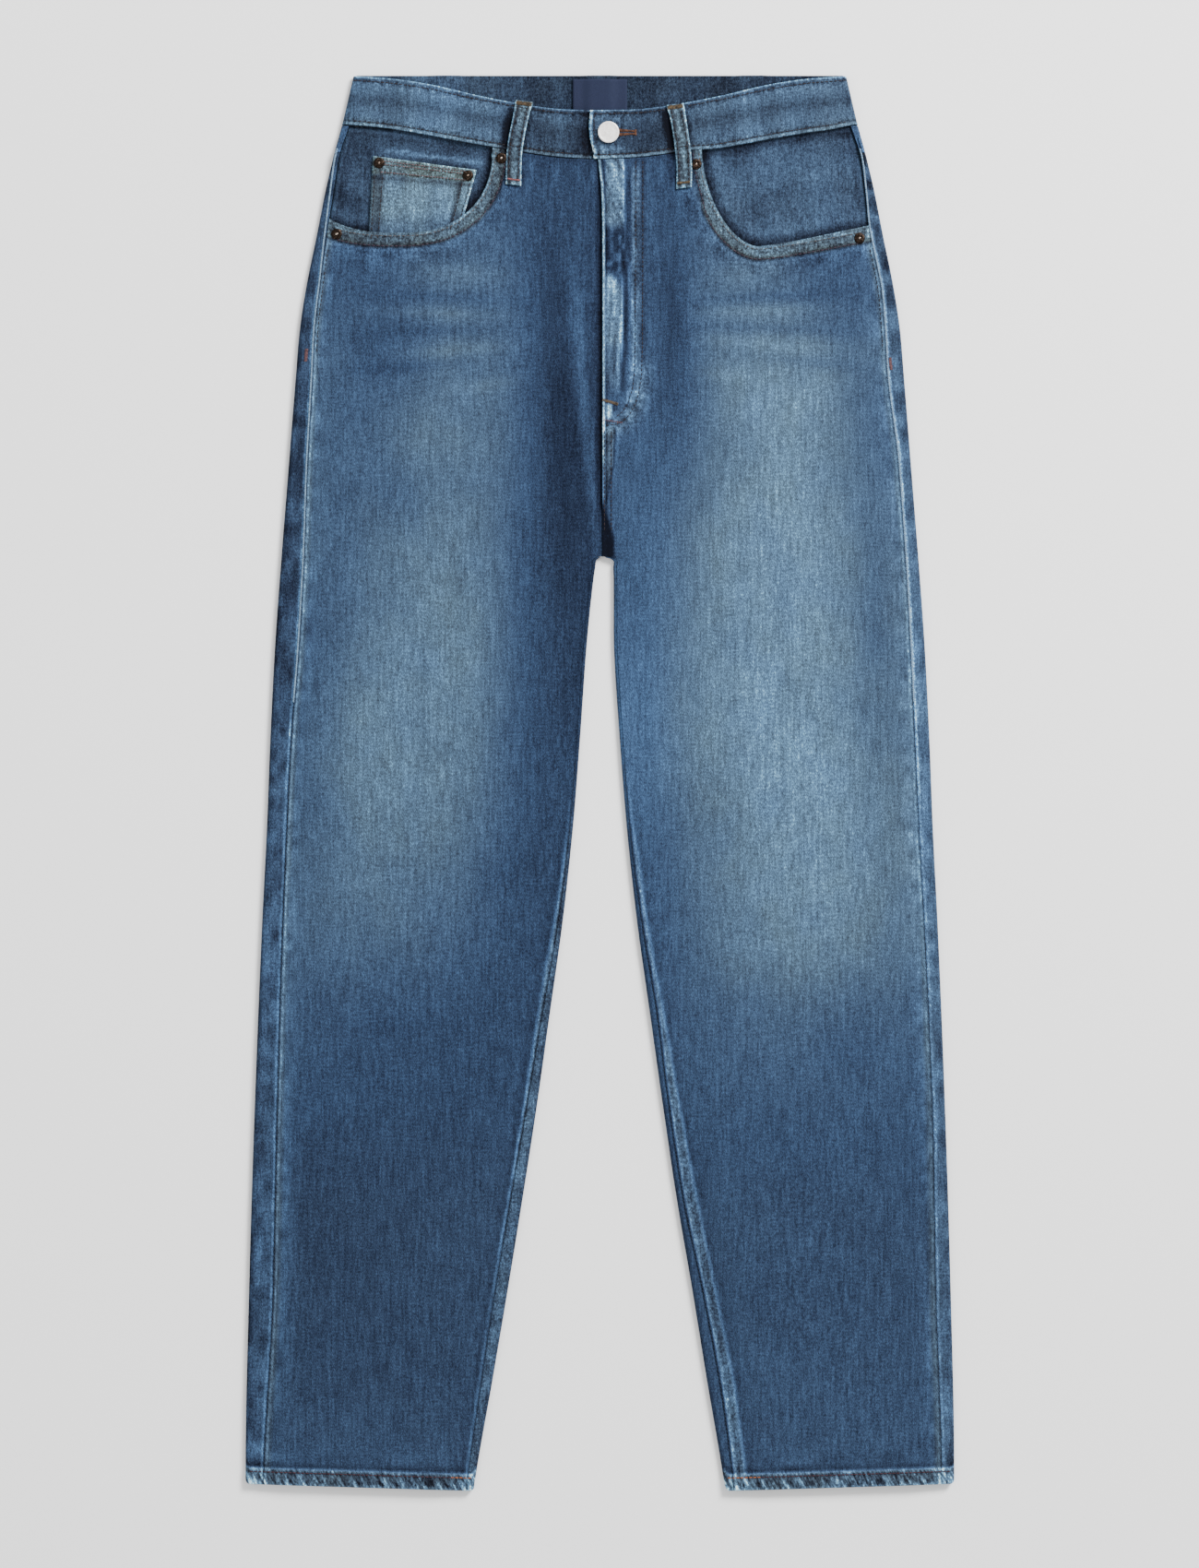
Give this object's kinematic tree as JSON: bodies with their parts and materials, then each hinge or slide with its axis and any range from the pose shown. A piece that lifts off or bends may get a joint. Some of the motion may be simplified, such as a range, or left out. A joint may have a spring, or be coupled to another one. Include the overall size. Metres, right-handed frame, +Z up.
{
  "type": "mom jeans",
  "caption": "Stonewashed denim mom jeans laid flat on their back: high waist, button and zip fly, rounded front pockets, coin pocket, rivets, belt loops and tapered ankle legs.",
  "frame": {"origin": "middle of the bounding box, on the surface that the jeans lie on", "axes": "+Y from the hems to the waist, +Z up from the surface and out of the front, +X towards the wearer's left leg"},
  "size_m": [0.5344, 1.0667, 0.012],
  "materials": {
    "denim": "stonewashed cotton twill",
    "worn_denim": "paler washed cotton twill",
    "denim_inside": "pale reverse side of the twill",
    "thread": "tonal cotton-wrapped topstitching thread",
    "rust_thread": "rust topstitching thread",
    "label": "plain woven label",
    "zip": "zip on its tape",
    "nickel": "pale nickel",
    "copper": "antique copper"
  },
  "bodies": {
    "root": {"front_panel_right": "denim", "front_panel_left": "denim", "back_panel_right": "denim", "back_panel_left": "denim", "yoke_right": "denim", "yoke_left": "denim", "waistband": "denim", "pocket_facing_right": "worn_denim", "pocket_facing_left": "worn_denim", "coin_pocket": "worn_denim", "back_pocket_right": "worn_denim", "back_pocket_left": "worn_denim", "belt_loop_front_right": "worn_denim", "belt_loop_front_left": "worn_denim", "belt_loop_back_right": "worn_denim", "belt_loop_back_centre": "worn_denim", "belt_loop_back_left": "worn_denim", "waist_label": "label", "zip_tape": "zip", "fly_shield": "denim", "button": "nickel", "rivet_right_waist": "copper", "rivet_right_side": "copper", "rivet_left_waist": "copper", "rivet_left_side": "copper", "rivet_coin_outer": "copper", "rivet_coin_inner": "copper"}
  },
  "joints": []
}
